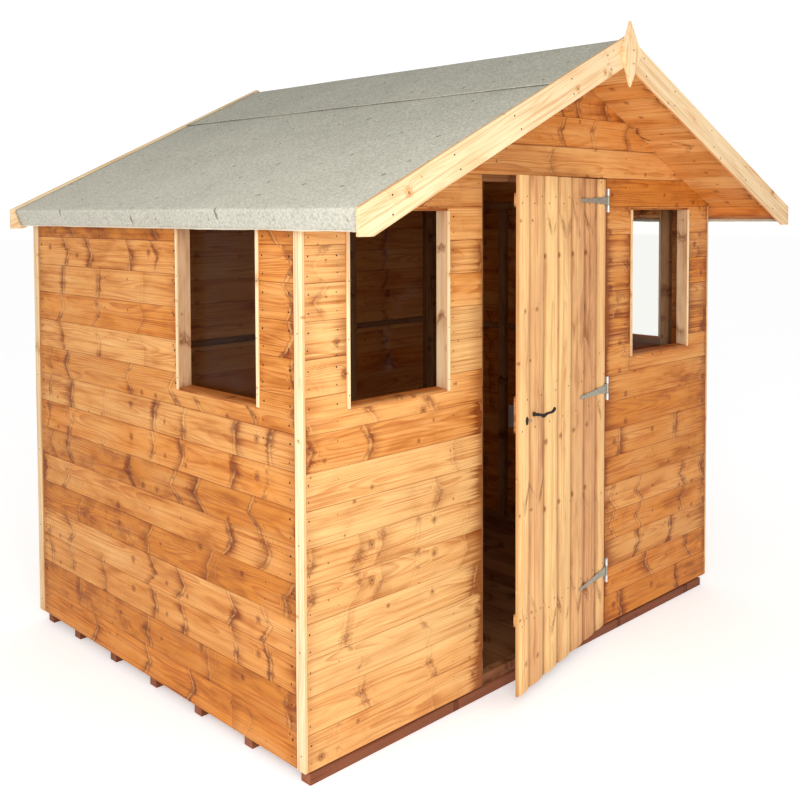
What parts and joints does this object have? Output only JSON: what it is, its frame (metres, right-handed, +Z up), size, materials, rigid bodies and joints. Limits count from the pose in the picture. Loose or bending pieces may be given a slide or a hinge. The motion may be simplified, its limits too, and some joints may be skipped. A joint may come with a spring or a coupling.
{
  "type": "wooden garden shed",
  "caption": "Timber garden shed with an apex felt roof, a ledged and braced door on T hinges that stands ajar, and fixed windows.",
  "frame": {"origin": "on the ground under the middle of the four walls, on the underside of the middle floor bearer", "axes": "+X to the right seen from the door side, +Y from the door to the rear wall, +Z up"},
  "size_m": [2.602, 2.211, 2.4329],
  "materials": {
    "dipped_boards": "dip-treated softwood boards, satin",
    "frame_timber": "sawn softwood framing, matte",
    "pale_pine": "planed untreated pine, satin",
    "door_pine": "planed log-profile pine, satin",
    "bearer_timber": "dark red-brown treated timber, matte",
    "roof_felt": "green mineral roofing felt, rough",
    "pane_glass": "clear window glass",
    "zinc_steel": "bright zinc-plated pressed steel",
    "black_steel": "black japanned steel, satin"
  },
  "bodies": {
    "shed": {"front_wall_below_windows": "dipped_boards", "front_wall_window_piers": "dipped_boards", "front_wall_above_windows": "dipped_boards", "front_gable_boards": "dipped_boards", "front_gable_overlay": "dipped_boards", "rear_wall_boards": "dipped_boards", "left_wall_below_window": "dipped_boards", "left_wall_window_piers": "dipped_boards", "left_wall_above_window": "dipped_boards", "right_wall_below_window": "dipped_boards", "right_wall_window_piers": "dipped_boards", "right_wall_above_window": "dipped_boards", "left_roof_boards": "dipped_boards", "right_roof_boards": "dipped_boards", "eaves_battens": "dipped_boards", "front_frame_studs": "frame_timber", "front_frame_rails": "frame_timber", "rear_frame_studs": "frame_timber", "rear_frame_rails": "frame_timber", "gable_rafters": "frame_timber", "side_frame_studs": "frame_timber", "side_frame_rails": "frame_timber", "roof_purlins": "frame_timber", "window_jambs": "frame_timber", "window_heads_and_sills": "frame_timber", "window_strips": "pale_pine", "corner_strips": "pale_pine", "left_bargeboards": "pale_pine", "right_bargeboards": "pale_pine", "finial": "pale_pine", "left_roof_felt": "roof_felt", "right_roof_felt": "roof_felt", "ridge_felt": "roof_felt", "floor_bearers": "bearer_timber", "floor_deck": "frame_timber", "window_panes": "pane_glass", "hinge_plates": "zinc_steel", "lock_keep": "black_steel"},
    "door": {"door_boards": "door_pine", "door_ledges": "door_pine", "door_braces": "door_pine", "hinge_straps": "zinc_steel", "lock_case": "black_steel"},
    "handle": {"lever_handle": "black_steel"}
  },
  "joints": [
    {"name": "door_swing", "type": "hinge", "parent": "shed", "child": "door", "pos_m": [0.3815, -0.9095, 1.033], "axis": [0, 0, 1], "range_deg": [-11, 129]},
    {"name": "handle_turn", "type": "hinge", "parent": "door", "child": "handle", "pos_m": [-0.26478, -1.03054, 1.037], "axis": [-0.1908, 0.9816, 0], "range_deg": [0, 40], "stiffness_Nm_per_rad": 0.8, "springref_deg": -24.98}
  ]
}
